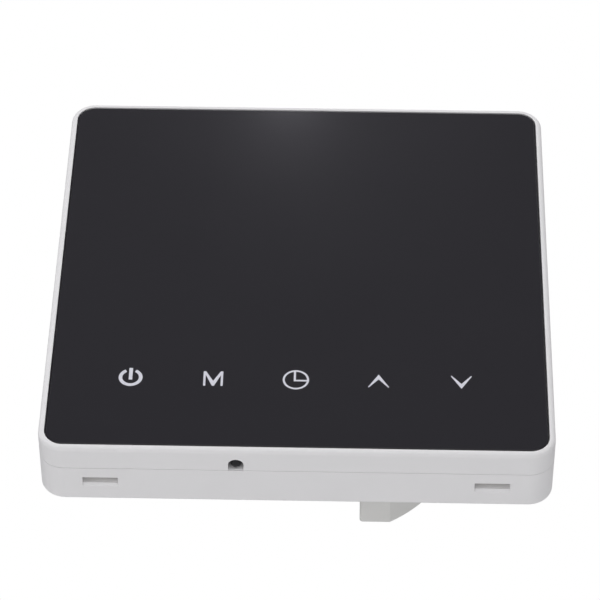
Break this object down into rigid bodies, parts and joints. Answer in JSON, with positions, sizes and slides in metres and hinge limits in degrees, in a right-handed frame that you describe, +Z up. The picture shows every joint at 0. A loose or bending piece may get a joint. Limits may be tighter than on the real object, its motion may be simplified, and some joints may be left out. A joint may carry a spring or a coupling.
{
  "type": "wall thermostat",
  "caption": "Square flush-mounted room thermostat: black touch panel in a white two-part case, a steel wall frame and a power box with screw terminals behind.",
  "frame": {"origin": "midway between the two wall-screw slots, on the wall's surface", "axes": "+X to the right as seen from the room, +Y into the wall, +Z up"},
  "size_m": [0.086, 0.042, 0.086],
  "materials": {
    "black_panel": "gloss",
    "white_print": "gloss",
    "adhesive_tape": "matte",
    "white_shell": "semi-gloss, fine moulded texture",
    "zinc_steel": "zinc plated",
    "display_glass": "gloss",
    "milky_diffuser": "milky",
    "green_laminate": "solder mask",
    "spring_steel": "plated wire",
    "tinned_can": "tinned",
    "black_epoxy": "matte",
    "ceramic_chip": "matte",
    "black_glass_bead": "gloss",
    "black_nylon": "matte",
    "cream_plastic": "matte",
    "grey_white_box": "fine moulded texture",
    "silver_label": "satin",
    "gold_pin": "gold flash",
    "relay_case": "satin",
    "winding_tape": "polyester tape",
    "dark_ferrite": "matte",
    "yellow_capacitor": "satin",
    "capacitor_sleeve": "sleeve",
    "varistor_coat": "epoxy",
    "green_terminal": "satin",
    "brass_contact": "tinned brass",
    "clamp_steel": "zinc plated"
  },
  "bodies": {
    "wall_unit": {"back_plate": "cream_plastic", "mounting_frame": "zinc_steel", "base_screws": "zinc_steel", "power_box": "grey_white_box", "rating_label": "silver_label", "power_board": "green_laminate", "board_screws": "zinc_steel", "header_base": "black_nylon", "header_pins": "gold_pin", "relay": "relay_case", "transformer_bobbin": "black_nylon", "transformer_winding": "winding_tape", "transformer_core": "dark_ferrite", "film_capacitor": "yellow_capacitor", "electrolytic_capacitors": "capacitor_sleeve", "varistor": "varistor_coat", "fuse": "black_epoxy", "terminal_block": "green_terminal", "terminal_contacts": "brass_contact"},
    "front_unit": {"touch_panel": "black_panel", "key_symbols": "white_print", "panel_tape": "adhesive_tape", "front_shell": "white_shell", "rear_shell": "white_shell", "case_screws": "zinc_steel", "display_glass": "display_glass", "backlight": "milky_diffuser", "control_board": "green_laminate", "touch_springs": "spring_steel", "radio_module": "tinned_can", "controller_chip": "black_epoxy", "beeper": "black_epoxy", "small_components": "ceramic_chip", "temperature_sensor": "black_glass_bead", "board_socket": "black_nylon"},
    "screw_1": {"terminal_screw_1": "zinc_steel"},
    "clamp_1": {"terminal_clamp_1": "clamp_steel"},
    "screw_2": {"terminal_screw_2": "zinc_steel"},
    "clamp_2": {"terminal_clamp_2": "clamp_steel"},
    "screw_3": {"terminal_screw_3": "zinc_steel"},
    "clamp_3": {"terminal_clamp_3": "clamp_steel"},
    "screw_4": {"terminal_screw_4": "zinc_steel"},
    "clamp_4": {"terminal_clamp_4": "clamp_steel"},
    "screw_5": {"terminal_screw_5": "zinc_steel"},
    "clamp_5": {"terminal_clamp_5": "clamp_steel"},
    "screw_6": {"terminal_screw_6": "zinc_steel"},
    "clamp_6": {"terminal_clamp_6": "clamp_steel"}
  },
  "joints": [
    {"name": "front_pull_off", "type": "slide", "parent": "wall_unit", "child": "front_unit", "axis": [0, -1, 0], "range_m": [0, 0.03]},
    {"name": "screw_1_turn", "type": "hinge", "parent": "wall_unit", "child": "screw_1", "pos_m": [-0.01739, 0.014, -0.01395], "axis": [0, -1, 0], "range_deg": [0, 1440]},
    {"name": "clamp_1_rise", "type": "slide", "parent": "wall_unit", "child": "clamp_1", "axis": [0, 1, 0], "range_m": [0, 0.002]},
    {"name": "screw_2_turn", "type": "hinge", "parent": "wall_unit", "child": "screw_2", "pos_m": [-0.01231, 0.014, -0.01395], "axis": [0, -1, 0], "range_deg": [0, 1440]},
    {"name": "clamp_2_rise", "type": "slide", "parent": "wall_unit", "child": "clamp_2", "axis": [0, 1, 0], "range_m": [0, 0.002]},
    {"name": "screw_3_turn", "type": "hinge", "parent": "wall_unit", "child": "screw_3", "pos_m": [-0.00723, 0.014, -0.01395], "axis": [0, -1, 0], "range_deg": [0, 1440]},
    {"name": "clamp_3_rise", "type": "slide", "parent": "wall_unit", "child": "clamp_3", "axis": [0, 1, 0], "range_m": [0, 0.002]},
    {"name": "screw_4_turn", "type": "hinge", "parent": "wall_unit", "child": "screw_4", "pos_m": [-0.00215, 0.014, -0.01395], "axis": [0, -1, 0], "range_deg": [0, 1440]},
    {"name": "clamp_4_rise", "type": "slide", "parent": "wall_unit", "child": "clamp_4", "axis": [0, 1, 0], "range_m": [0, 0.002]},
    {"name": "screw_5_turn", "type": "hinge", "parent": "wall_unit", "child": "screw_5", "pos_m": [0.00293, 0.014, -0.01395], "axis": [0, -1, 0], "range_deg": [0, 1440]},
    {"name": "clamp_5_rise", "type": "slide", "parent": "wall_unit", "child": "clamp_5", "axis": [0, 1, 0], "range_m": [0, 0.002]},
    {"name": "screw_6_turn", "type": "hinge", "parent": "wall_unit", "child": "screw_6", "pos_m": [0.00801, 0.014, -0.01395], "axis": [0, -1, 0], "range_deg": [0, 1440]},
    {"name": "clamp_6_rise", "type": "slide", "parent": "wall_unit", "child": "clamp_6", "axis": [0, 1, 0], "range_m": [0, 0.002]}
  ],
  "couplings": [
    {"joint": "screw_1_turn", "follows": "clamp_1_rise", "rad_per_m": 12566},
    {"joint": "screw_2_turn", "follows": "clamp_2_rise", "rad_per_m": 12566},
    {"joint": "screw_3_turn", "follows": "clamp_3_rise", "rad_per_m": 12566},
    {"joint": "screw_4_turn", "follows": "clamp_4_rise", "rad_per_m": 12566},
    {"joint": "screw_5_turn", "follows": "clamp_5_rise", "rad_per_m": 12566},
    {"joint": "screw_6_turn", "follows": "clamp_6_rise", "rad_per_m": 12566}
  ]
}
